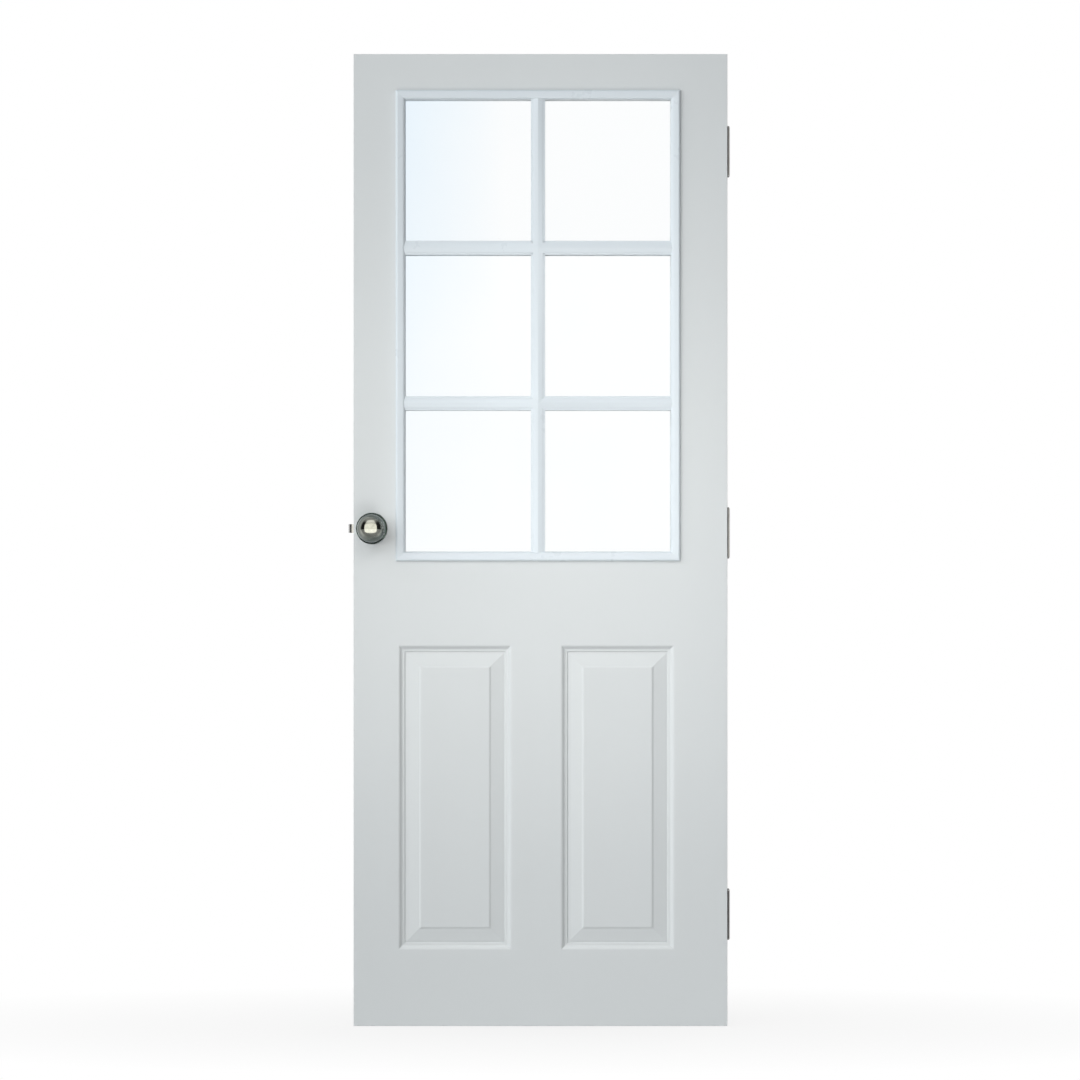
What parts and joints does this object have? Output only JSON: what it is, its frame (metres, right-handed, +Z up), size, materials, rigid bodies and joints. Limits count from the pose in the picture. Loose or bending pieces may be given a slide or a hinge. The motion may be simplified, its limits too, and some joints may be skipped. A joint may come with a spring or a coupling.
{
  "type": "panelled front door",
  "caption": "Front door leaf with a barred glazed light over raised panels, ball knobs on a sprung mortice latch, and butt hinges that let it swing inwards.",
  "frame": {"origin": "centre of the leaf's bottom edge", "axes": "+X from the lock edge to the hinge edge, +Y from the outside to the inside, +Z up"},
  "size_m": [0.7793, 0.181, 1.981],
  "materials": {
    "skin_paint": "satin factory paint on a moulded GRP skin",
    "edge_timber": "primed and painted softwood",
    "core_foam": null,
    "frame_plastic": "white moulded plastic, low sheen",
    "clear_glass": "clear float glass",
    "spacer_metal": "mill finish",
    "black_seal": "matt sealant",
    "tape_foam": "white foam tape",
    "knob_nickel": "polished dark nickel",
    "spindle_steel": "zinc plated",
    "latch_steel": "lacquered pressed steel",
    "latch_nickel": "satin nickel plate",
    "follower_brass": "cast brass",
    "spring_steel": "bright spring wire",
    "hinge_steel": "satin steel",
    "screw_steel": "zinc plated"
  },
  "bodies": {
    "frame_side": {"bottom_hinge_fixed_leaf": "hinge_steel", "bottom_hinge_pin": "hinge_steel", "middle_hinge_fixed_leaf": "hinge_steel", "middle_hinge_pin": "hinge_steel", "top_hinge_fixed_leaf": "hinge_steel", "top_hinge_pin": "hinge_steel"},
    "door": {"outside_skin": "skin_paint", "inside_skin": "skin_paint", "lock_stile": "edge_timber", "hinge_stile": "edge_timber", "top_rail": "edge_timber", "bottom_rail": "edge_timber", "lock_block": "edge_timber", "foam_core": "core_foam", "outside_light_frame": "frame_plastic", "inside_light_frame": "frame_plastic", "light_frame_screws": "screw_steel", "screw_plugs": "frame_plastic", "outside_glass": "clear_glass", "inside_glass": "clear_glass", "glass_spacer": "spacer_metal", "glass_edge_seal": "black_seal", "outside_glazing_tape": "tape_foam", "inside_glazing_tape": "tape_foam", "outside_rose": "knob_nickel", "inside_rose": "knob_nickel", "rose_screws": "knob_nickel", "latch_case": "latch_steel", "latch_cover": "latch_steel", "latch_springs": "spring_steel", "latch_forend": "latch_nickel", "forend_screws": "latch_nickel", "bottom_hinge_moving_leaf": "hinge_steel", "bottom_hinge_screws": "screw_steel", "middle_hinge_moving_leaf": "hinge_steel", "middle_hinge_screws": "screw_steel", "top_hinge_moving_leaf": "hinge_steel", "top_hinge_screws": "screw_steel"},
    "knobs": {"outside_knob": "knob_nickel", "inside_knob": "knob_nickel", "knob_spindle": "spindle_steel", "latch_follower": "follower_brass", "knob_grub_screws": "spindle_steel"},
    "bolt": {"latch_bolt": "latch_nickel"}
  },
  "joints": [
    {"name": "door_swing", "type": "hinge", "parent": "frame_side", "child": "door", "pos_m": [0.3818, 0.028, 0], "axis": [0, 0, -1], "range_deg": [0, 170]},
    {"name": "knob_turn", "type": "hinge", "parent": "door", "child": "knobs", "pos_m": [-0.344, 0, 1.014], "axis": [0, 1, 0], "range_deg": [0, 40], "stiffness_Nm_per_rad": 0.5, "springref_deg": -22.92},
    {"name": "latch_slide", "type": "slide", "parent": "door", "child": "bolt", "axis": [1, 0, 0], "range_m": [0, 0.011], "deforming": ["latch_springs"]}
  ],
  "couplings": [
    {"joint": "latch_slide", "follows": "knob_turn", "m_per_rad": 0.015756}
  ]
}
